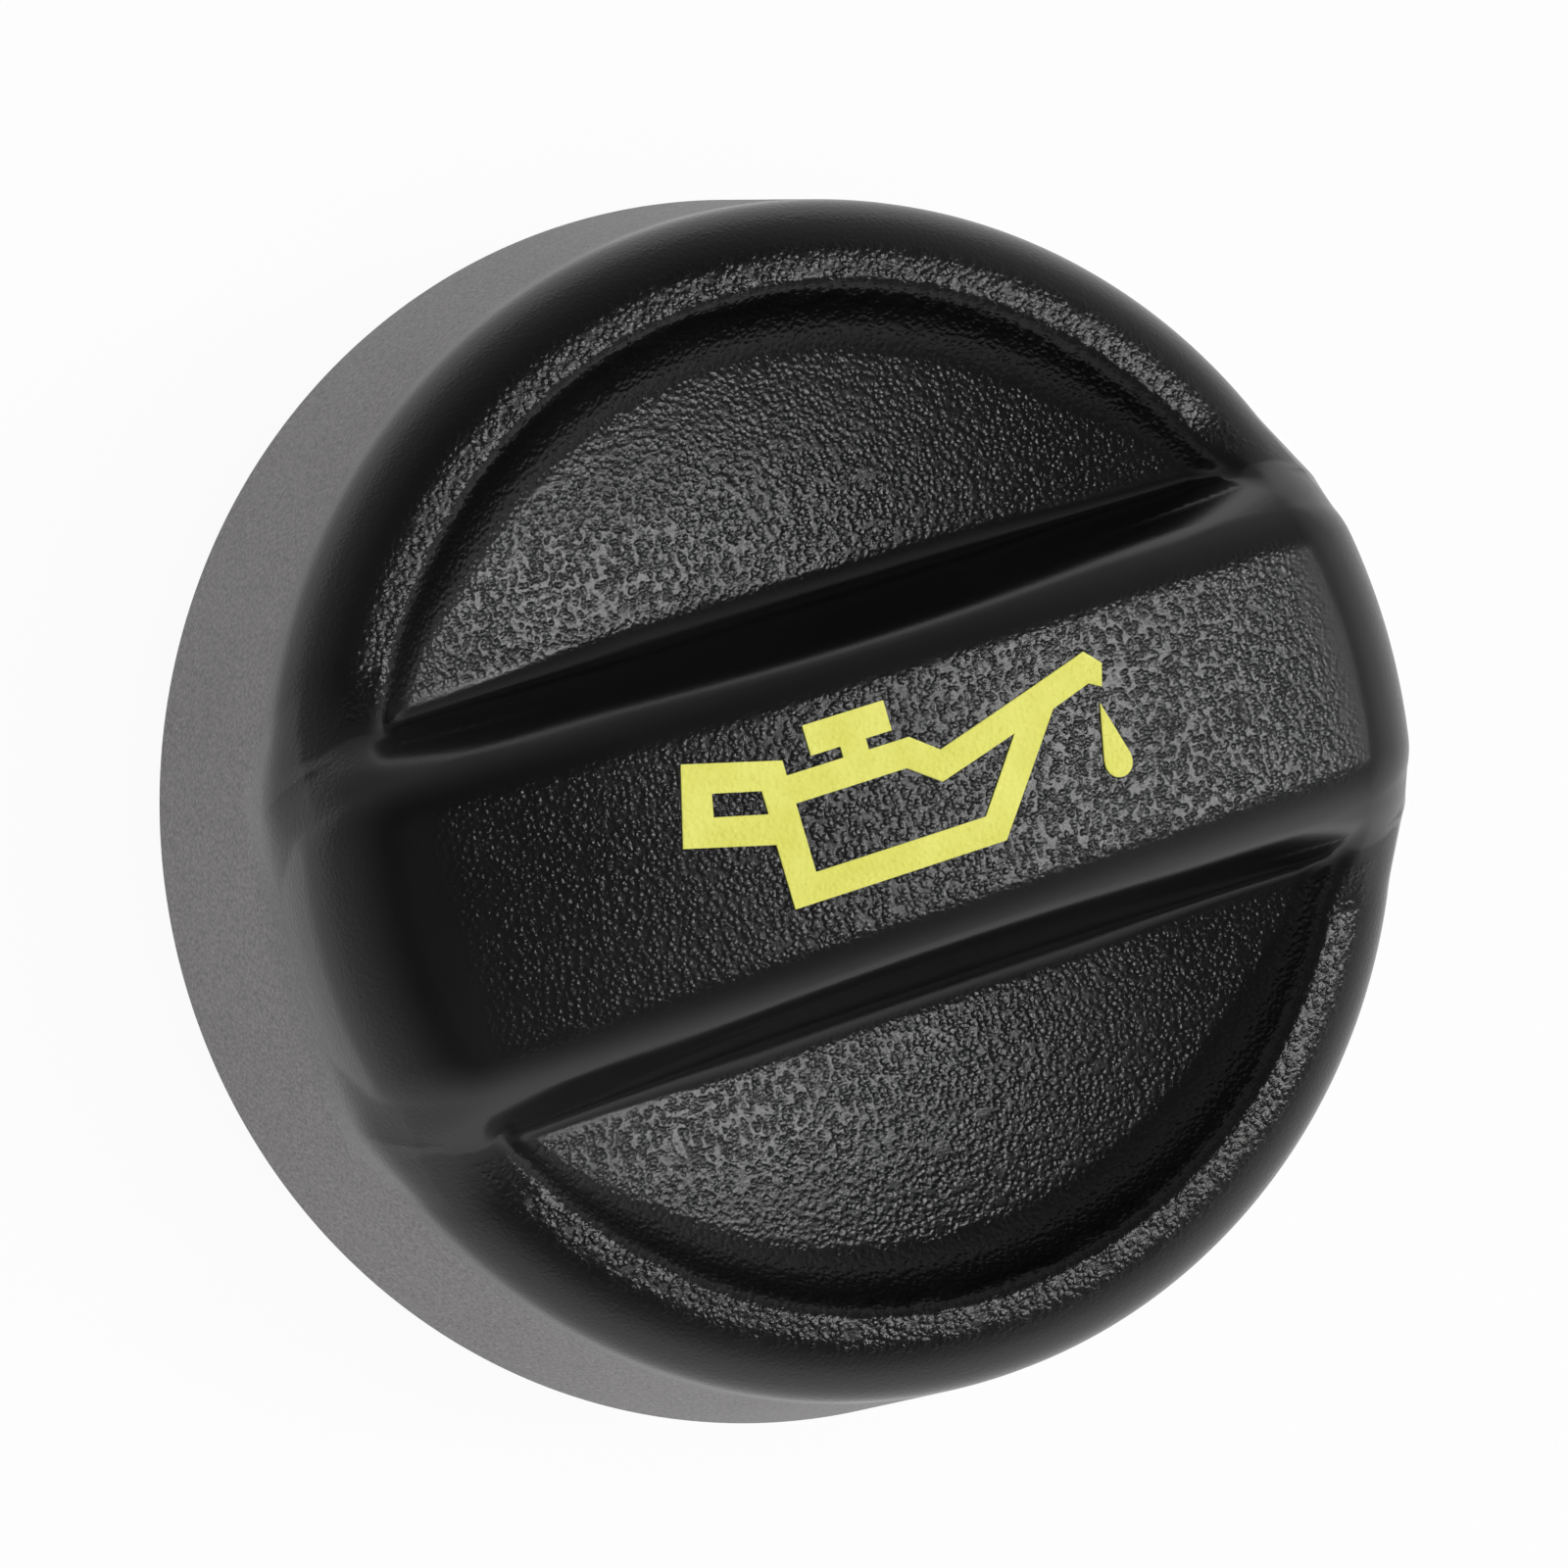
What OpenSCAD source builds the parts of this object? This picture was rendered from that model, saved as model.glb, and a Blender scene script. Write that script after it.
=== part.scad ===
// Bayonet oil filler cap: one moulded body with a gripping bar between two finger scoops,
// a rubber seal ring on its plug and a printed oil can on the bar.
// Heights below are measured from the skirt's lower edge. The part stands on its plug,
// so every node is lifted by plug_drop. The bar runs along X.

/* [Body] */
// Outer diameter at the skirt's lower edge
cap_d = 64; // [58:1:76]
// Lean of the skirt's outer wall from upright, degrees
skirt_draft = 8.7; // [6:0.1:11]
// General wall thickness of the moulding
wall = 2.4; // [1.6:0.1:3]
// Height of the rim's crest above the skirt's edge
rim_h = 16.4; // [15.6:0.1:18]
// Rounding of the rim on its outer side
rim_r = 2.3; // [1.6:0.1:3]
// Rounding of the rim on its inner side
rim_inner_r = 1.2; // [0.8:0.1:1.6]
// Steepest lean of the rim's inner side, degrees from flat
rim_slope = 62; // [45:1:70]
// Hollow rounding between the rim and the scoop's floor
rim_foot_r = 2; // [1:0.1:3]

/* [Bar] */
// Height of the bar's top at its middle, above the skirt's edge
bar_h = 22.8; // [21.5:0.1:25]
// Full width of the bar at the widest line of its shoulders
bar_w = 18; // [16:0.1:21]
// Rounding of the bar's shoulders
shoulder_r = 3.6; // [2.5:0.1:4.5]
// Lean of the bar's sides under the shoulders, degrees from upright
bar_flare = 30; // [20:1:40]
// Depth below the bar's top at which its ends start to curve inwards
end_start_drop = 7.8; // [7:0.1:9]
// Lean at which the bar's ends turn into the end rounding, degrees
end_turn = 12; // [10:0.5:16]
// Rounding between the bar's ends and its crowned top
end_round_r = 5; // [4:0.1:5.6]

/* [Finger scoops] */
// Width left between the two scoops, measured waist_drop below the bar's top
waist_w = 16; // [14:0.1:17.5]
// Depth below the bar's top at which waist_w is measured
waist_drop = 1.5; // [1:0.1:2.5]
// Lean of a scoop's wall along the bar, degrees from upright
scoop_draft = 15; // [8:0.5:20]
// Height of a scoop's floor at its lowest line
scoop_floor_h = 13; // [12:0.1:14]
// Radius of a scoop's bowl along the bar
scoop_sweep_r = 90; // [75:1:130]
// Radius of a scoop's floor from the bar out to the rim
scoop_floor_r = 67; // [55:1:90]
// Rounding at the foot of the bar
scoop_foot_r = 1.6; // [0.8:0.1:2.4]

/* [Plug] */
// Outer diameter of the plug
plug_d = 38; // [34:0.5:41]
// Length of the plug below the skirt's edge
plug_drop = 14; // [11:0.5:20]
// Chamfer round the plug's lower end
plug_chamfer = 0.8; // [0.3:0.1:1.2]
// Number of bayonet lugs
lug_n = 3; // [2:1:4]
// Length of a lug round the plug, degrees
lug_sweep = 40; // [25:1:55]
// Reach of the lugs from the plug
lug_reach = 3; // [2:0.1:3.5]
// Thickness of a lug at its middle
lug_t = 3.4; // [2.4:0.1:4.5]
// Distance from the plug's lower end to the lugs
lug_inset = 1.5; // [1:0.1:3]
// Lean of a lug's clamping face, degrees
lug_ramp = 5; // [1:0.5:8]
// Length of the stop at a lug's thick end, degrees
stop_sweep = 7; // [4:0.5:10]
// Height of the stop above the lug's middle
stop_h = 2.6; // [2:0.1:3.5]

/* [Ribs] */
// Number of ribs between the seat and the skirt
rib_n = 12; // [8:1:16]
// Thickness of the ribs
rib_t = 1.2; // [0.8:0.1:1.8]
// Depth of the ribs below the seat
rib_drop = 4; // [2:0.1:5]
// Free play between the ribs and the seal ring
rib_gap = 1; // [0.5:0.1:1.5]
// Thickness of the cross ribs inside the bar
cross_t = 1.4; // [1:0.1:2]
// Distance of the cross ribs from the bar's middle
cross_x = 6; // [4:0.5:9]

/* [Seal ring] */
// Width of the seal ring's section
seal_w = 4.6; // [3:0.1:4.8]
// Thickness of the seal ring
seal_t = 3; // [2:0.1:4]
// Free play between the seal ring and the plug
seal_gap = 0.1; // [0.05:0.05:0.3]
// Rounding of the seal ring's corners
seal_edge = 0.5; // [0.2:0.1:0.8]
// Depth of the groove round the seal ring's lower face
seal_groove = 0.6; // [0.2:0.1:0.9]
// Reach of the bead that keeps the seal ring on the plug
bead_reach = 0.5; // [0.3:0.1:0.8]

/* [Printed mark] */
// Length of the oil can with its drip
mark_len = 23.6; // [16:0.1:28]
// Thickness of the print
mark_t = 0.1; // [0.05:0.01:0.3]

/* [Hidden] */
$fn = 96;
cap_r = cap_d/2;
plug_r = plug_d/2;
bore_r = plug_r - wall;
seat_h = scoop_floor_h - wall;
above = 2*bar_h;

// Points of an arc about c, from angle a0 to a1 in n steps
function arc(c, r, a0, a1, n) =
    [for (i = [0:n]) let (t = a0 + (a1 - a0)*i/n) [c[0] + r*cos(t), c[1] + r*sin(t)]];

// Radius of the skirt's outer and inner wall at a height z
function skirt_r(z) = cap_r - z*tan(skirt_draft);
function inner_r(z) = skirt_r(z) - wall/cos(skirt_draft);

// Bar's ends: a ball that meets the skirt's wall, the end rounding and the crown.
// The crown is turned through crown_reach degrees to each side of the middle
end_sink = 0.05;
end_start_h = bar_h - end_start_drop;
ball_r = skirt_r(end_start_h)/cos(skirt_draft);
ball_h = end_start_h - ball_r*sin(skirt_draft);
round_c = [0, ball_h] + (ball_r - end_round_r)*[cos(end_turn), sin(end_turn)];
crown_rise = bar_h - round_c[1];
crown_r = (pow(round_c[0], 2) + pow(crown_rise, 2) - pow(end_round_r, 2))
          /(2*(crown_rise - end_round_r));
crown_reach = 14;

// Finger scoop: wall line along the bar, rounding at its foot, floor out to the rim
wall_k = waist_w/2*cos(scoop_draft) + (bar_h - waist_drop)*sin(scoop_draft);
foot_c = [(wall_k + scoop_foot_r - (scoop_floor_h + scoop_foot_r)*sin(scoop_draft))
          /cos(scoop_draft), scoop_floor_h + scoop_foot_r];
scoop_axis_h = scoop_floor_h + scoop_sweep_r;
function floor_z(y) = scoop_floor_h + scoop_floor_r
                      - sqrt(pow(scoop_floor_r, 2) - pow(y - foot_c[0], 2));

// Rim: the crest, the slope inside it and the hollow rounding down to the floor
crest_x = skirt_r(rim_h - rim_r) - rim_r/cos(skirt_draft);
crest_c = [crest_x, rim_h - rim_r];
slope_x = crest_x - (rim_inner_r + rim_foot_r)*sin(rim_slope);
slope_lie = asin((slope_x - foot_c[0])/scoop_floor_r);
slope_fall = rim_h - floor_z(slope_x) - rim_inner_r*(1 - cos(rim_slope))
             - rim_foot_r*(cos(slope_lie) - cos(rim_slope));
slope_run = max(0.05, slope_fall/sin(rim_slope));
slope_n = [-sin(rim_slope), cos(rim_slope)];
hollow_c = [crest_x, rim_h - rim_inner_r] + (rim_inner_r + rim_foot_r)*slope_n
           - slope_run*[cos(rim_slope), sin(rim_slope)];
hollow_end = hollow_c + rim_foot_r*[sin(slope_lie), -cos(slope_lie)];
under_fall = 0.4;

// Hollow under the rim
gutter_h = rim_h - rim_r/2 - 0.85*wall;
gutter_out = inner_r(gutter_h) - 0.4;
gutter_in = hollow_end[0] + 0.25*wall;
gutter_edge = 0.8;

// Seal ring and the ribs outside it
seal_r = plug_r + seal_gap;
rib_r = seal_r + seal_w + rib_gap;

// Outline of the skirt, the rim and the slope inside it
module dish_outline() {
    polygon(concat(
        [[0, 0], [cap_r, 0]],
        arc(crest_c, rim_r, skirt_draft, 90, 9),
        arc([crest_x, rim_h - rim_inner_r], rim_inner_r, 100, 90 + rim_slope, 6),
        arc(hollow_c, rim_foot_r, rim_slope - 90, slope_lie - 90, 6),
        [[0, hollow_end[1] - under_fall*hollow_end[0]]]));
}

// Turns an outline of [height, y] points about an axis along Y at axis_h
module sweep_along_x(axis_h, side, half_angle) {
    translate([0, 0, axis_h])
    rotate([-90, 0, 0])
    rotate([0, 0, -90*side - half_angle])
    rotate_extrude(angle = 2*half_angle, $fn = 180)
    children();
}

// Length of bar, crowned along X. A narrower and lower one makes the hollow inside it
module crowned_section(half_w, top, edge_r, flare, low) {
    base = half_w + (top - edge_r - low)*tan(flare);
    edge = half_w - edge_r;
    sweep_along_x(bar_h - crown_r, 1, crown_reach)
    translate([crown_r - bar_h, 0])
    union() {
        polygon([[low, -base], [top - edge_r, -half_w], [top - edge_r, -edge], [top, -edge],
                 [top, edge], [top - edge_r, edge], [top - edge_r, half_w], [low, base]]);
        for (y = [-edge, edge]) translate([top - edge_r, y]) circle(edge_r);
    }
}

// Cone that touches the end rounding where it leans by a, open downwards
module end_cone(a) {
    p = round_c + end_round_r*[cos(a), sin(a)];
    tip = p[1] + p[0]/tan(a);
    cylinder(r1 = tip*tan(a), r2 = 0, h = tip);
}

module bar() {
    intersection() {
        crowned_section(bar_w/2, bar_h, shoulder_r, bar_flare, seat_h);
        translate([0, 0, ball_h]) sphere(ball_r - end_sink, $fn = 180);
        intersection_for (a = [end_turn + 9:10.5:80]) end_cone(a);
    }
}

// The space that one scoop cuts out, on the +Y side
module scoop() {
    bowl = [scoop_axis_h - scoop_floor_h - scoop_floor_r, foot_c[0]];
    foot = [scoop_axis_h - foot_c[1], foot_c[0]];
    sweep_along_x(scoop_axis_h, -1, 26)
    union() {
        translate(foot) circle(scoop_foot_r);
        polygon([[scoop_axis_h - above, (wall_k - above*sin(scoop_draft))/cos(scoop_draft)],
                 foot - scoop_foot_r*[sin(scoop_draft), cos(scoop_draft)], foot,
                 foot + [scoop_foot_r/2, 0], [scoop_axis_h - above, foot_c[0]]]);
        intersection() {
            translate(bowl) circle(scoop_floor_r, $fn = 360);
            translate([scoop_axis_h - above, foot_c[0] - 0.01]) square([above, 1.2*cap_r - foot_c[0]]);
        }
    }
}

// Bar and scoop floors, before the rim is added
module bar_and_floors() {
    difference() {
        union() {
            bar();
            cylinder(r = crest_x - 0.35, h = rim_h - 0.15);
        }
        scoop();
        mirror([0, 1, 0]) scoop();
    }
}

// Hollow inside the skirt, with the gutter under the rim
module skirt_hollow() {
    rotate_extrude()
    polygon([[0, -1], [inner_r(-1), -1], [inner_r(gutter_h - gutter_edge), gutter_h - gutter_edge],
             [gutter_out, gutter_h], [gutter_in + gutter_edge, gutter_h],
             [gutter_in, gutter_h - gutter_edge], [gutter_in, seat_h], [0, seat_h]]);
}

// Hollow inside the bar, in the bore and outside the plug, parted by the cross ribs
module bar_hollow() {
    out_r = gutter_out - gutter_edge;
    half_w = waist_w/2 - wall;
    intersection() {
        crowned_section(half_w, bar_h - wall, 1, 3, seat_h - 3);
        union() {
            translate([0, 0, seat_h - 1]) cylinder(r = bore_r - 0.6, h = bar_h);
            difference() {
                translate([0, 0, seat_h - 1]) cylinder(r = out_r, h = bar_h - wall - 3 - seat_h + 1);
                cylinder(r = plug_r + 1.2, h = above);
            }
        }
    }
}

module cross_ribs() {
    for (side = [-1, 1])
        translate([side*cross_x - cross_t/2, -waist_w/2 + wall/2, seat_h + 1])
            cube([cross_t, waist_w - wall, bar_h - wall - seat_h - 1.5]);
}

module plug() {
    low = -plug_drop;
    bead_h = seat_h - seal_t - seal_gap;
    rotate_extrude()
    polygon([[bore_r, seat_h + 0.5], [bore_r, low + 0.4], [bore_r + 0.4, low],
             [plug_r - plug_chamfer, low], [plug_r, low + plug_chamfer],
             [plug_r, bead_h - 4*bead_reach], [plug_r + bead_reach, bead_h - bead_reach],
             [plug_r + bead_reach, bead_h - bead_reach/2], [plug_r, bead_h],
             [plug_r, seat_h + 0.5]]);
}

// Lug with a leaning clamping face and a stop at its thick end
module lug() {
    low = lug_inset - plug_drop;
    top = low + lug_t + stop_h;
    out = plug_r + lug_reach;
    stop_y = out*sin(lug_sweep/2 - stop_sweep);
    difference() {
        rotate([0, 0, -lug_sweep/2])
        rotate_extrude(angle = lug_sweep)
        polygon([[plug_r - wall/2, low], [out - 0.8, low], [out, low + 0.8], [out, top],
                 [plug_r - wall/2, top]]);
        translate([0, 0, low + lug_t])
            rotate([lug_ramp, 0, 0])
            translate([0, -out, 0])
            cube([2*out, out + stop_y, 3*stop_h + lug_t]);
    }
}

module rib() {
    low = seat_h - rib_drop;
    mid = inner_r(low) - 1;
    translate([0, rib_t/2, 0])
    rotate([90, 0, 0])
    linear_extrude(rib_t)
    polygon([[rib_r, seat_h + 0.8], [rib_r, seat_h - 1.4], [mid - 1, low + 0.6], [mid, low],
             [inner_r(low) + wall/2, low - 1], [inner_r(seat_h) + wall/2, seat_h],
             [gutter_out + 0.5*wall, gutter_h], [gutter_out, gutter_h + 0.5],
             [gutter_in - 0.4, gutter_h + 0.3]]);
}

module cap_body() {
    color([0.09, 0.09, 0.09])
    translate([0, 0, plug_drop])
    union() {
        difference() {
            union() {
                bar_and_floors();
                rotate_extrude() dish_outline();
            }
            skirt_hollow();
            bar_hollow();
        }
        cross_ribs();
        plug();
        for (i = [0:lug_n - 1]) rotate([0, 0, 360/lug_n*i + 90]) lug();
        for (i = [0:rib_n - 1]) rotate([0, 0, 360/rib_n*(i + 0.5)]) rib();
    }
}

module seal_ring() {
    low = seat_h - seal_t;
    mid = seal_r + seal_w/2;
    out = seal_r + seal_w;
    color([0.05, 0.05, 0.055])
    translate([0, 0, plug_drop])
    rotate_extrude()
    polygon(concat(
        [[seal_r, seat_h]],
        arc([seal_r + seal_edge, low + seal_edge], seal_edge, 180, 270, 4),
        [[mid - 1.2*seal_groove, low], [mid, low + seal_groove], [mid + 1.2*seal_groove, low]],
        arc([out - seal_edge, low + seal_edge], seal_edge, 270, 360, 4),
        arc([out - seal_edge, seat_h - seal_edge], seal_edge, 0, 90, 4)));
}

// Oil can with handle, filler, spout and drip, drawn 23.6 long
module oil_can() {
    difference() {
        polygon([[-11.3, 4.65], [-6.45, 3.4], [-6.45, 2.65], [-3.45, 2.65], [-3.45, 3.2],
                 [-5, 3.2], [-5, 4.7], [-0.7, 4.7], [-0.7, 3.2], [-2.1, 3.2], [-2.1, 2.65],
                 [0.05, 2.65], [1.45, 1.6], [10.25, 4], [11.05, 3.2], [10.7, 2.1], [10.05, 2.45],
                 [7.8, 1.8], [3.45, -3.55], [-7.9, -3.55], [-7.9, -0.35], [-12.35, 0.8]]);
        polygon([[-10.25, 2.9], [-7.85, 2.3], [-7.85, 1.15], [-10.5, 1.8]]);
        polygon([[-6.4, 1.25], [-0.5, 1.25], [1.1, 0.1], [5.45, 1.25], [2.75, -2.15], [-6.4, -2.15]]);
    }
}

module drip() {
    bulb = 0.76;
    mid = [10.45, -1.65];
    translate(mid) circle(bulb);
    polygon([mid + [-0.1, 3], mid + [-bulb, 0.2], mid, mid + [bulb, 0.2]]);
}

module oil_can_mark() {
    color([0.86, 0.84, 0.25])
    translate([0, 0, plug_drop])
    intersection() {
        difference() {
            translate([0, bar_w/2, bar_h - crown_r]) rotate([90, 0, 0])
                cylinder(r = crown_r + mark_t, h = bar_w, $fn = 720);
            translate([0, bar_w, bar_h - crown_r]) rotate([90, 0, 0])
                cylinder(r = crown_r, h = 2*bar_w, $fn = 720);
        }
        translate([0, 0, bar_h/2])
            linear_extrude(bar_h)
            scale(mark_len/23.6) { oil_can(); drip(); }
    }
}

cap_body();
seal_ring();
oil_can_mark();
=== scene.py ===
"""Dressed oil filler cap: the moulded skin, its inside, the seal ring and the print, on a white floor."""
import math

import bmesh
import bpy
import numpy as np
from mathutils import Matrix, Vector


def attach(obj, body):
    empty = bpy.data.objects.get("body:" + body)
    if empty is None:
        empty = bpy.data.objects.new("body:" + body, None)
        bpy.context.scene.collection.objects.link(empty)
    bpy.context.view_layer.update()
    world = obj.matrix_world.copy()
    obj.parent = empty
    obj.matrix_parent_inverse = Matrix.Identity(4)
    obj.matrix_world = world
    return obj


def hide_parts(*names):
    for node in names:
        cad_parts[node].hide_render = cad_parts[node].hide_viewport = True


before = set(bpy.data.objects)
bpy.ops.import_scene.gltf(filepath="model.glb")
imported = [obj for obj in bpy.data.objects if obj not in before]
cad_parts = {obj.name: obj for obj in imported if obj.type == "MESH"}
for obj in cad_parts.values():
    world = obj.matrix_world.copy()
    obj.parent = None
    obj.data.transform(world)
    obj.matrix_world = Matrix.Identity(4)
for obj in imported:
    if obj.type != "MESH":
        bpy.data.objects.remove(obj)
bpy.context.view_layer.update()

MM = 0.001
DROP = 14.0          # height of the skirt's lower edge in the row frame, mm

# ---------------------------------------------------------------- camera
# The cap's axes and centre in the camera's own axes (x right, y down, z forward)
LEAN, TURN, BAR_TURN = 0.3644, -0.123, math.radians(10)
CENTRE = np.array([-0.0442, 0.0404, 8.0075])*32      # given in cap radii, mm
FOCAL_PX, IMAGE_PX, SENSOR = 5000, 1600, 36
up = np.array([math.sin(LEAN)*math.cos(TURN), math.sin(LEAN)*math.sin(TURN), -math.cos(LEAN)])
e1 = np.array([math.cos(TURN)*math.cos(LEAN), math.sin(TURN)*math.cos(LEAN), math.sin(LEAN)])
e2 = np.cross(up, e1)
bar_x = math.cos(BAR_TURN)*e1 + math.sin(BAR_TURN)*e2
bar_y = -math.sin(BAR_TURN)*e1 + math.cos(BAR_TURN)*e2
to_camera = np.array([bar_x, bar_y, up])
place = -to_camera @ CENTRE + np.array([0, 0, DROP])
camera = bpy.data.objects.new("camera", bpy.data.cameras.new("camera"))
bpy.context.scene.collection.objects.link(camera)
axes = Matrix([[to_camera[i][0], -to_camera[i][1], -to_camera[i][2]] for i in range(3)])
camera.matrix_world = Matrix.Translation(Vector(place)*MM) @ axes.to_4x4()
camera.data.sensor_width = SENSOR
camera.data.lens = FOCAL_PX/IMAGE_PX*SENSOR
camera.data.clip_start = 0.01
camera.data.clip_end = 50
bpy.context.scene.camera = camera

# ---------------------------------------------------------------- skin of the cap
# All lengths in mm, heights from the skirt's lower edge. They follow the part's source, but for the rim's
# wider crest.
CAP_R, DRAFT = 32.0, math.radians(8.7)
RIM_H, RIM_R, RIM_SLOPE, RIM_IN_R, RIM_TOP = 16.6, 2.9, math.radians(70), 1.0, 1.2
BAR_H, SHOULDER_R, BAR_HALF, FLARE = 22.8, 3.6, 9.0, math.radians(30)
END_START, END_TURN, END_R = 15.0, math.radians(12), 5.0
WALL_LEAN, WAIST_HALF, WAIST_DROP = math.radians(15), 8.0, 1.5
FLOOR_H, SWEEP_R, FLOOR_R, FOOT_R = 13.0, 90.0, 67.0, 1.6
BAR_EDGE_R, FLARE_R = 2.9, 0.8
# the skirt's lower edge, from outside to inside: inset from the wall, height, upward part of the normal
LIP = [(0.06, 0.3, 0.2), (0.16, 0.09, -0.7), (0.36, 0, -1)]

BALL_R = (CAP_R - END_START*math.tan(DRAFT))/math.cos(DRAFT)
BALL_H = END_START - BALL_R*math.sin(DRAFT)
ROUND = (BALL_R - END_R)*math.cos(END_TURN), BALL_H + (BALL_R - END_R)*math.sin(END_TURN)
RISE = BAR_H - ROUND[1]
CROWN_R = (ROUND[0]**2 + RISE**2 - END_R**2)/(2*(RISE - END_R))
WALL_K = WAIST_HALF*math.cos(WALL_LEAN) + (BAR_H - WAIST_DROP)*math.sin(WALL_LEAN)
FOOT_Y = (WALL_K + FOOT_R - (FLOOR_H + FOOT_R)*math.sin(WALL_LEAN))/math.cos(WALL_LEAN)
AXIS_H = FLOOR_H + SWEEP_R
CREST_R = CAP_R - (RIM_H - RIM_R)*math.tan(DRAFT) - RIM_R/math.cos(DRAFT)


def both(a, b, r):
    """Inside both shapes, with the edge between them rounded."""
    return np.minimum(-r, np.maximum(a, b)) + np.hypot(np.maximum(r + a, 0), np.maximum(r + b, 0))


def either(a, b, r):
    """Inside one shape or the other, with the corner between them filled round."""
    return np.maximum(r, np.minimum(a, b)) - np.hypot(np.maximum(r - a, 0), np.maximum(r - b, 0))


def step(x, a, b):
    """0 below a, 1 above b, smooth between."""
    t = np.clip((x - a)/(b - a), 0, 1)
    return t*t*(3 - 2*t)


def fields(x, y, z):
    """Distances to the surfaces that shape the outer skin, below 0 inside the moulding."""
    ay, r = np.abs(y), np.hypot(x, y)
    h = AXIS_H - np.hypot(x, z - AXIS_H)
    hc = np.hypot(x, z - (BAR_H - CROWN_R)) - CROWN_R + BAR_H
    side, over = ay - BAR_HALF + SHOULDER_R, hc - BAR_H + SHOULDER_R
    rounded = (np.hypot(np.maximum(side, 0), np.maximum(over, 0))
               + np.minimum(np.maximum(side, over), 0) - SHOULDER_R)
    flared = np.maximum((ay - BAR_HALF)*math.cos(FLARE) + over*math.sin(FLARE), over)
    return {
        "cone": (r - CAP_R)*math.cos(DRAFT) + z*math.sin(DRAFT),
        "wall": ay*math.cos(WALL_LEAN) + h*math.sin(WALL_LEAN) - WALL_K,
        "floor": FLOOR_R - np.hypot(ay - FOOT_Y, h - FLOOR_H - FLOOR_R),
        "ball": np.hypot(r, z - BALL_H) - BALL_R,
        "top": either(rounded, flared, FLARE_R),
        "crest": z - RIM_H,
        "slope": ((CREST_R - RIM_TOP - r)*math.sin(RIM_SLOPE)
                  + (z - RIM_H + RIM_IN_R)*math.cos(RIM_SLOPE) - RIM_IN_R),
        "azimuth": np.degrees(np.arctan2(ay, np.abs(x))),
    }


def skin(x, y, z):
    """The moulded outside: below 0 inside the moulding, 0 on its skin."""
    f = fields(x, y, z)
    near_end = 1 - step(f["azimuth"], 24, 50)
    disc = both(f["cone"], f["crest"], RIM_R)
    bar = both(f["top"], f["ball"], BAR_EDGE_R)
    # the fillet between bar and rim fades out on the bar's ends, where ball and skirt touch, and down the skirt
    fillet = (0.05 + 3.4*step(f["azimuth"], 7, 19))*np.clip((2.5 - f["cone"])/3, 0, 1)*step(z, 9.5, 15.5)
    dome = either(bar, disc, fillet + 0.001)
    bowl = either(f["floor"], f["slope"], 1.9 - 1.1*near_end)
    pocket = either(bowl, f["wall"], 1.2 - 0.7*near_end)
    lip = np.exp(-((f["azimuth"] - 21)/7)**2)
    return both(dome, pocket, 0.3 + 0.3*step(f["azimuth"], 12, 26) + 0.5*lip)


EYE, LEVEL = 60.0, 74.0     # every ray from EYE below the skirt's edge meets the skin once


def meet(u, v):
    """Points where the rays through (u, v), measured LEVEL above the eye, meet the skin."""
    low, high = np.full(u.shape, -3.0), np.full(u.shape, 27.0)
    for _ in range(40):
        z = (low + high)/2
        inside = skin(u*(z + EYE)/LEVEL, v*(z + EYE)/LEVEL, z) < 0
        low, high = np.where(inside, z, low), np.where(inside, high, z)
    z = (low + high)/2
    return np.stack([u*(z + EYE)/LEVEL, v*(z + EYE)/LEVEL, z], -1)


def spaced(stops, count):
    """count + 1 values from the first to the last stop, closer where a stop asks for a small step."""
    at = np.linspace(stops[0][0], stops[-1][0], 4001)
    rate = 1/np.interp(at, [s[0] for s in stops], [s[1] for s in stops])
    total = np.concatenate([[0], np.cumsum((rate[1:] + rate[:-1])/2)])
    return np.interp(np.linspace(0, total[-1], count + 1), total, at)


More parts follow.
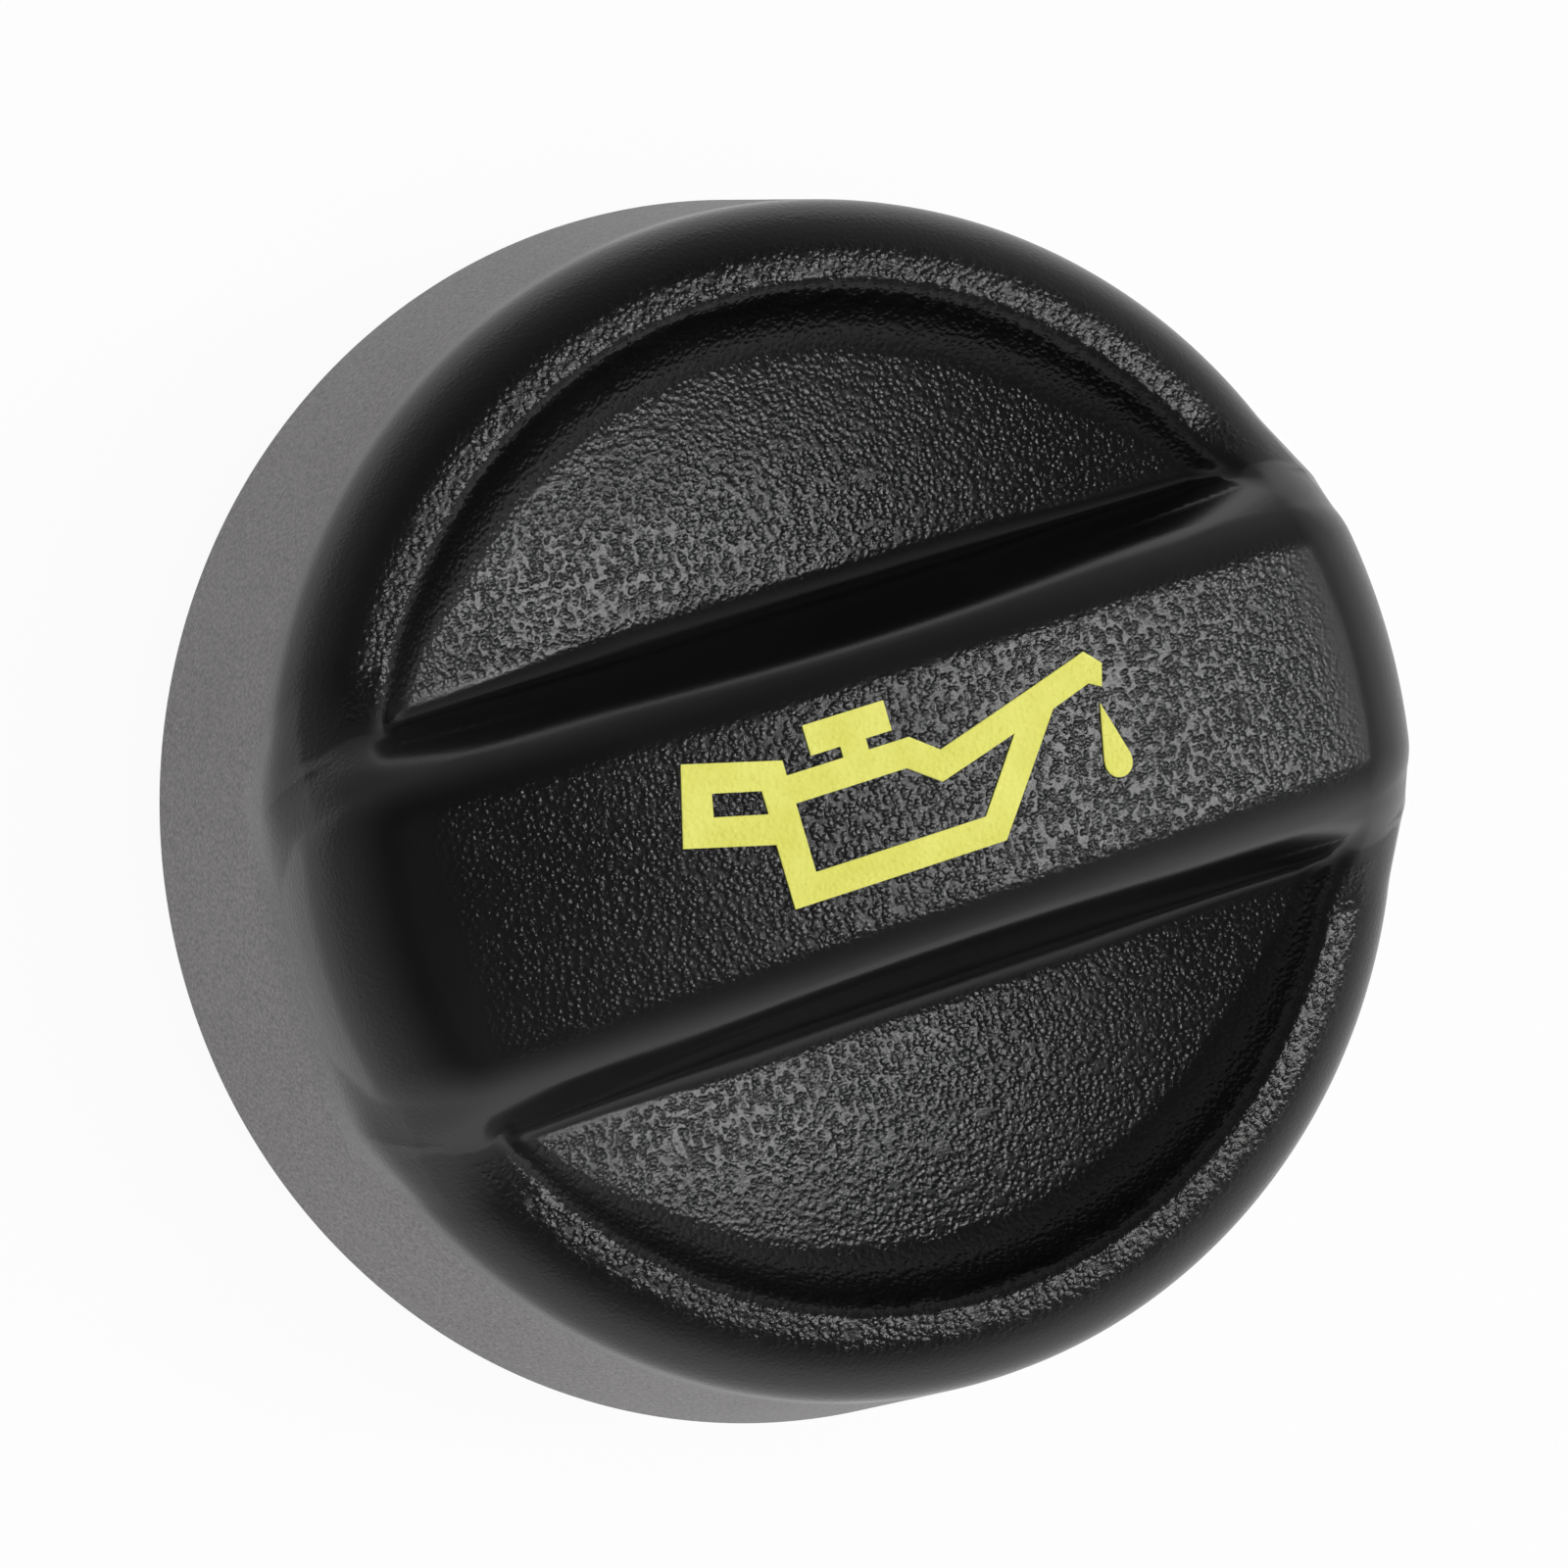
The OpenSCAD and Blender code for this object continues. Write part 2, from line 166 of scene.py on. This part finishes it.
def build_skin():
    """A square grid drawn onto a disc over the top, then rings down the skirt and round its lower edge."""
    disc = 29.75
    half_a = spaced([(0, 2), (0.55, 1.9), (0.72, 0.9), (1, 0.85)], 80)
    half_b = spaced([(0, 1.4), (0.12, 1.3), (0.17, 0.6), (0.42, 0.6), (0.52, 1.25), (0.75, 1.2), (1, 1)], 130)
    a = np.concatenate([-half_a[:0:-1], half_a])
    b = np.concatenate([-half_b[:0:-1], half_b])
    A, B = np.meshgrid(a, b, indexing="ij")
    u, v = disc*A*np.sqrt(1 - B*B/2), disc*B*np.sqrt(1 - A*A/2)
    top = meet(u, v)
    na, nb = A.shape
    index = np.arange(na*nb).reshape(na, nb)
    quads = np.stack([index[:-1, :-1], index[1:, :-1], index[1:, 1:], index[:-1, 1:]], -1).reshape(-1, 4)
    ring = np.concatenate([index[:-1, 0], index[-1, :-1], index[:0:-1, -1], index[0, :0:-1]])
    turn = np.arctan2(v.ravel()[ring], u.ravel()[ring])
    parts, faces = [top.reshape(-1, 3)], [quads]
    last, count = ring, na*nb
    edge = CAP_R*LEVEL/EYE
    rings = [meet(R*np.cos(turn), R*np.sin(turn)) for R in np.linspace(disc, edge, 27)[1:-1]]
    for inset, z, _ in LIP:
        r = CAP_R - inset
        rings.append(np.stack([r*np.cos(turn), r*np.sin(turn), np.full(turn.shape, z)], -1))
    for points in rings:
        here = count + np.arange(len(ring))
        faces.append(np.stack([last, here, np.roll(here, -1), np.roll(last, -1)], -1))
        parts.append(points)
        last, count = here, count + len(ring)
    points = np.concatenate(parts)
    faces = np.concatenate(faces)
    mesh = bpy.data.meshes.new("cap_skin")
    mesh.from_pydata((points + [0, 0, DROP])*MM, [], faces.tolist())
    mesh.update()
    x, y, z = points.T
    e = 0.02
    g = np.stack([skin(x + e, y, z) - skin(x - e, y, z), skin(x, y + e, z) - skin(x, y - e, z),
                  skin(x, y, z + e) - skin(x, y, z - e)], -1)
    g /= np.linalg.norm(g, axis=1, keepdims=True)
    low = z < 0.35
    out = np.stack([x, y, 0*x], -1)/np.maximum(np.hypot(x, y), 1e-6)[:, None]
    for _, height, lean in LIP:
        at = low & (np.abs(z - height) < 0.01)
        g[at] = out[at]*math.sqrt(1 - lean*lean) + np.array([0, 0, lean])
    mesh.shade_smooth()
    mesh.normals_split_custom_set_from_vertices(g)
    # masks from 0 to 1: the grained fields of pad and scoop, the skirt painted grey as a painted reflection of
    # the white floor, the rim's outer round
    f = fields(x, y, z)
    ay, r = np.abs(y), np.hypot(x, y)
    pad = step(5.9 + 0.3*(np.abs(x)/20)**2 - ay, -0.35, 0.45)*step(24 - np.abs(x), -1.2, 2.6)*(z > 19)
    scoop = step(np.minimum(f["wall"] - 0.7, 27.5 - r), -0.15, 0.45)*(z < 17.4)
    # side: the skirt below the rim, softer towards the bar's ends, where grey is painted in as a painted
    # reflection of the white floor
    soft = 1.2 + 2.6*(1 - step(f["azimuth"], 10, 26))
    side = step(np.minimum(13 - z, r - 27)/soft, -1, 0.8)
    rim = step(r, 26.5, 28.5)
    for name, value in (("pad", pad), ("scoop", scoop), ("side", side), ("rim", rim)):
        mesh.attributes.new(name, "FLOAT", "POINT").data.foreach_set("value", value.astype(np.float32))
    obj = bpy.data.objects.new("cap_skin", mesh)
    bpy.context.scene.collection.objects.link(obj)
    return obj


def build_inside():
    """The rest of the moulding, below the skin: lip, seat, ribs, plug, lugs and hollows, as in the frame."""
    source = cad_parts["cap_body"].data
    bm = bmesh.new()
    bm.from_mesh(source)
    bmesh.ops.remove_doubles(bm, verts=bm.verts, dist=2e-6)
    bm.faces.ensure_lookup_table()
    centre = np.array([f.calc_center_median() for f in bm.faces])/MM - [0, 0, DROP]
    normal = np.array([f.normal for f in bm.faces])
    depth = skin(*centre.T)
    outer = (depth > -1.0) & ~((normal[:, 2] < -0.5) & (centre[:, 2] < 0.5)) & (centre[:, 2] > -0.01)
    bmesh.ops.delete(bm, geom=[f for f, o in zip(bm.faces, outer) if o], context="FACES")
    for v in bm.verts:
        r = math.hypot(v.co.x, v.co.y)/MM
        if abs(v.co.z/MM - DROP) < 0.001 and r > 31.9:      # the skirt's edge, drawn in to meet the lip
            v.co.x *= (CAP_R - LIP[-1][0])/r
            v.co.y *= (CAP_R - LIP[-1][0])/r
    for f in bm.faces:
        f.smooth = True
    for e in bm.edges:
        e.smooth = len(e.link_faces) == 2 and e.calc_face_angle(0) < math.radians(28)
    mesh = bpy.data.meshes.new("cap_inside")
    bm.to_mesh(mesh)
    bm.free()
    obj = bpy.data.objects.new("cap_inside", mesh)
    bpy.context.scene.collection.objects.link(obj)
    return obj


# ---------------------------------------------------------------- materials
class Nodes:
    """Short way to write the node tree of a material or a world."""

    def __init__(self, owner):
        owner.use_nodes = True
        self.owner, self.tree = owner, owner.node_tree
        self.tree.nodes.clear()

    def add(self, kind, inputs=None, **settings):
        node = self.tree.nodes.new("ShaderNode" + kind)
        for key, value in settings.items():
            setattr(node, key, value)
        for key, value in (inputs or {}).items():
            socket = node.inputs[key]
            if isinstance(value, bpy.types.NodeSocket):
                self.tree.links.new(value, socket)
            else:
                socket.default_value = value
        return node

    def math(self, operation, *values, clamp=False):
        node = self.add("Math", operation=operation, use_clamp=clamp)
        for i, value in enumerate(values):
            if isinstance(value, bpy.types.NodeSocket):
                self.tree.links.new(value, node.inputs[i])
            else:
                node.inputs[i].default_value = value
        return node.outputs[0]

    def span(self, value, low, high, to_low=0.0, to_high=1.0, smooth=False):
        node = self.add("MapRange", {"Value": value, "From Min": low, "From Max": high,
                                     "To Min": to_low, "To Max": to_high},
                        interpolation_type="SMOOTHSTEP" if smooth else "LINEAR")
        return node.outputs["Result"]

    def mix(self, factor, a, b):
        node = self.add("Mix", data_type="RGBA")
        for socket, value in ((node.inputs[0], factor), (node.inputs[6], a), (node.inputs[7], b)):
            if isinstance(value, bpy.types.NodeSocket):
                self.tree.links.new(value, socket)
            else:
                socket.default_value = value
        return node.outputs[2]

    def dot(self, a, b):
        return self.add("VectorMath", {0: a, 1: b}, operation="DOT_PRODUCT").outputs["Value"]

    def finish(self, shader, kind="OutputMaterial"):
        out = self.add(kind)
        self.tree.links.new(shader.outputs[0], out.inputs["Surface"])
        return self.owner


def grain_height(n, where):
    """Leather grain: rounded cells of a few tenths of a millimetre between fine creases, height 0 to 1."""
    warp = n.add("TexNoise", {"Vector": where, "Scale": 2400.0, "Detail": 2.0, "Roughness": 0.6})
    drift = n.add("VectorMath", {0: warp.outputs["Color"], 1: (0.5, 0.5, 0.5)}, operation="SUBTRACT")
    size = n.add("VectorMath", {0: drift.outputs[0], "Scale": 0.0003}, operation="SCALE")
    moved = n.add("VectorMath", {0: where, 1: size.outputs[0]}, operation="ADD")
    cells = n.add("TexVoronoi", {"Vector": moved.outputs[0], "Scale": 3300.0, "Randomness": 1.0})
    lumps = n.add("TexNoise", {"Vector": where, "Scale": 1700.0, "Detail": 3.0, "Roughness": 0.55})
    body = n.span(cells.outputs["Distance"], 0.0, 0.75, 1.0, 0.0, smooth=True)
    return n.math("ADD", n.math("MULTIPLY", body, 0.6), n.math("MULTIPLY", lumps.outputs["Fac"], 0.5))


def plastic(name, fields_on_mesh):
    """Black glass-filled nylon, with light grey painted on the skirt as a painted reflection of the white
    floor. The skin's attributes say where its grain and that painted grey lie.
    """
    n = Nodes(bpy.data.materials.new(name))
    where = n.add("TexCoord").outputs["Object"]
    fine = n.add("TexNoise", {"Vector": where, "Scale": 5200.0, "Detail": 3.0, "Roughness": 0.6})
    broad = n.add("TexNoise", {"Vector": where, "Scale": 90.0, "Detail": 3.0, "Roughness": 0.5})
    wear = n.add("TexNoise", {"Vector": where, "Scale": 420.0, "Detail": 4.0, "Roughness": 0.6})
    if fields_on_mesh:
        pad, scoop, side, rim = (n.add("Attribute", attribute_name=k).outputs["Fac"]
                                 for k in ("pad", "scoop", "side", "rim"))
        grained = n.math("MAXIMUM", pad, scoop)
    else:
        # the inside takes the skirt's painted grey all over, the same painted reflection
        grained, side, rim = 0.0, 1.0, 1.0
    leather = grain_height(n, where)
    bump_leather = n.add("Bump", {"Strength": 1.0, "Distance": 0.00004,
                                  "Height": n.math("MULTIPLY", leather, grained)})
    fine_depth = n.math("ADD", 0.2, n.math("MULTIPLY", n.math("MAXIMUM", side, rim), 0.8))
    bump_fine = n.add("Bump", {"Strength": 1.0, "Distance": 0.00003,
                               "Height": n.math("MULTIPLY", fine.outputs["Fac"], fine_depth),
                               "Normal": bump_leather.outputs[0]})
    rough = n.math("ADD", n.span(broad.outputs["Fac"], 0.3, 0.7, 0.22, 0.27),
                   n.math("MULTIPLY", n.math("SUBTRACT", wear.outputs["Fac"], 0.5), 0.06))
    rough = n.math("ADD", rough, n.math("MULTIPLY", side, 0.3))
    rough = n.math("ADD", rough, n.math("MULTIPLY", grained, -0.02), clamp=True)
    dark = n.mix(n.span(broad.outputs["Fac"], 0.35, 0.65),
                 (0.0025, 0.0025, 0.0027, 1), (0.004, 0.0039, 0.0039, 1))
    # painted reflection: the skirt is coloured light grey to stand in for the white floor mirrored in the black
    # plastic
    colour = n.mix(n.math("MULTIPLY", side, n.span(fine.outputs["Fac"], 0.35, 0.7, 0.4, 1.0)), dark,
                   (0.27, 0.257, 0.264, 1))
    shader = n.add("BsdfPrincipled", {"Base Color": colour, "Roughness": rough, "IOR": 1.5,
                                      "Normal": bump_fine.outputs[0]})
    return n.finish(shader)


def print_ink():
    """Yellow pad print, a little uneven, over the bar's grain."""
    n = Nodes(bpy.data.materials.new("mark_ink"))
    where = n.add("TexCoord").outputs["Object"]
    speck = n.add("TexNoise", {"Vector": where, "Scale": 2600.0, "Detail": 3.0, "Roughness": 0.65})
    cloud = n.add("TexNoise", {"Vector": where, "Scale": 500.0, "Detail": 2.0, "Roughness": 0.5})
    leather = grain_height(n, where)
    bump = n.add("Bump", {"Strength": 1.0, "Distance": 0.00006, "Height": leather})
    base = n.mix(n.span(cloud.outputs["Fac"], 0.3, 0.7), (0.76, 0.75, 0.13, 1), (0.84, 0.83, 0.18, 1))
    colour = n.mix(n.span(speck.outputs["Fac"], 0.55, 0.8, 0.0, 0.35), base, (0.58, 0.56, 0.06, 1))
    rough = n.span(speck.outputs["Fac"], 0.3, 0.7, 0.42, 0.58)
    shader = n.add("BsdfPrincipled", {"Base Color": colour, "Roughness": rough, "Normal": bump.outputs[0]})
    return n.finish(shader)


def rubber():
    """Black rubber with fine pores and a trace of dust."""
    n = Nodes(bpy.data.materials.new("seal_rubber"))
    where = n.add("TexCoord").outputs["Object"]
    dust = n.add("TexNoise", {"Vector": where, "Scale": 700.0, "Detail": 5.0, "Roughness": 0.65})
    pores = n.add("TexNoise", {"Vector": where, "Scale": 6000.0, "Detail": 2.0, "Roughness": 0.5})
    bump = n.add("Bump", {"Strength": 1.0, "Distance": 0.00002, "Height": pores.outputs["Fac"]})
    colour = n.mix(n.span(dust.outputs["Fac"], 0.4, 0.75), (0.016, 0.016, 0.017, 1), (0.04, 0.04, 0.041, 1))
    rough = n.span(dust.outputs["Fac"], 0.3, 0.7, 0.62, 0.78)
    shader = n.add("BsdfPrincipled", {"Base Color": colour, "Roughness": rough, "Normal": bump.outputs[0]})
    return n.finish(shader)


def dress(obj, material):
    obj.data.materials.clear()
    obj.data.materials.append(material)


skin_obj = build_skin()
inside_obj = build_inside()
for obj in (skin_obj, inside_obj):
    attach(obj, "root")
    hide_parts("cap_body")
dress(skin_obj, plastic("cap_plastic", True))
dress(inside_obj, plastic("cap_plastic_inside", False))
dress(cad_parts["seal_ring"], rubber())
dress(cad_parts["oil_can_mark"], print_ink())

# ---------------------------------------------------------------- floor, world and lamp
floor_mesh = bpy.data.meshes.new("floor")
half = 2.5
corners = [(-half, -half, 0), (half, -half, 0), (half, half, 0), (-half, half, 0)]
floor_mesh.from_pydata(corners, [], [(0, 1, 2, 3)])
floor = bpy.data.objects.new("floor", floor_mesh)
bpy.context.scene.collection.objects.link(floor)
n = Nodes(bpy.data.materials.new("floor_white"))
light_path = n.add("LightPath")
pale = n.add("BsdfDiffuse", {"Color": (0.82, 0.82, 0.82, 1)})
white = n.add("Emission", {"Color": (1, 1, 1, 1), "Strength": 1.0})
seen = n.math("MAXIMUM", light_path.outputs["Is Camera Ray"], light_path.outputs["Is Glossy Ray"])
seen = n.math("MULTIPLY", n.math("MAXIMUM", seen, light_path.outputs["Is Transmission Ray"]), 0.94)
dress(floor, n.finish(n.add("MixShader", {0: seen, 1: pale.outputs[0], 2: white.outputs[0]})))

world = bpy.data.worlds.new("world")
bpy.context.scene.world = world
w = Nodes(world)
direction = w.add("TexCoord").outputs["Generated"]
height = w.add("SeparateXYZ", {0: direction}).outputs[2]
beside = w.dot(direction, (0.259, -0.966, 0))
# the room: bright near the horizon, dark above, brighter towards -Y
level = w.math("MULTIPLY", w.span(height, 0.26, 0.87, 0.85, 0.13), w.span(beside, -0.7, 0.8, 0.5, 1.2))
# soft boxes: azimuth, elevation, half width, half height and soft edge in degrees, strength
SOFT_BOXES = [(-9, 55, 1.3, 7, 2.6, 14), (-10, 67.5, 1.3, 5, 2.6, 9.5)]
for azimuth, elevation, half_w, half_h, soft, strength in SOFT_BOXES:
    a, e = math.radians(azimuth), math.radians(elevation)
    centre = (math.cos(a)*math.cos(e), math.sin(a)*math.cos(e), math.sin(e))
    across = (-math.sin(a), math.cos(a), 0)
    along = (-math.cos(a)*math.sin(e), -math.sin(a)*math.sin(e), math.cos(e))
    glow = w.math("GREATER_THAN", w.dot(direction, centre), 0)      # not on the other side of the world
    for way, half in ((across, half_w), (along, half_h)):
        off = w.dot(direction, way)
        low, high = math.sin(math.radians(half)), math.sin(math.radians(half + soft))
        glow = w.math("MULTIPLY", glow, w.span(w.math("ABSOLUTE", off), low, high, 1.0, 0.0, smooth=True))
    level = w.math("ADD", level, w.math("MULTIPLY", glow, strength))
ray = w.add("LightPath")
tone = w.add("Mix", data_type="FLOAT")
w.tree.links.new(ray.outputs["Is Camera Ray"], tone.inputs[0])
w.tree.links.new(level, tone.inputs[2])
tone.inputs[3].default_value = 1.0
background = w.add("Background", {"Color": (1, 1, 1, 1), "Strength": tone.outputs[0]})
w.finish(background, "OutputWorld")

# even light from above that leaves no reflection, so that colours come out as written
fill_data = bpy.data.lights.new("fill", "AREA")
fill_data.size, fill_data.energy = 1.0, 12
fill = bpy.data.objects.new("fill", fill_data)
fill.location = (0, 0, 1.5)
fill.visible_glossy = False
bpy.context.scene.collection.objects.link(fill)

bpy.context.scene.view_settings.view_transform = "Standard"
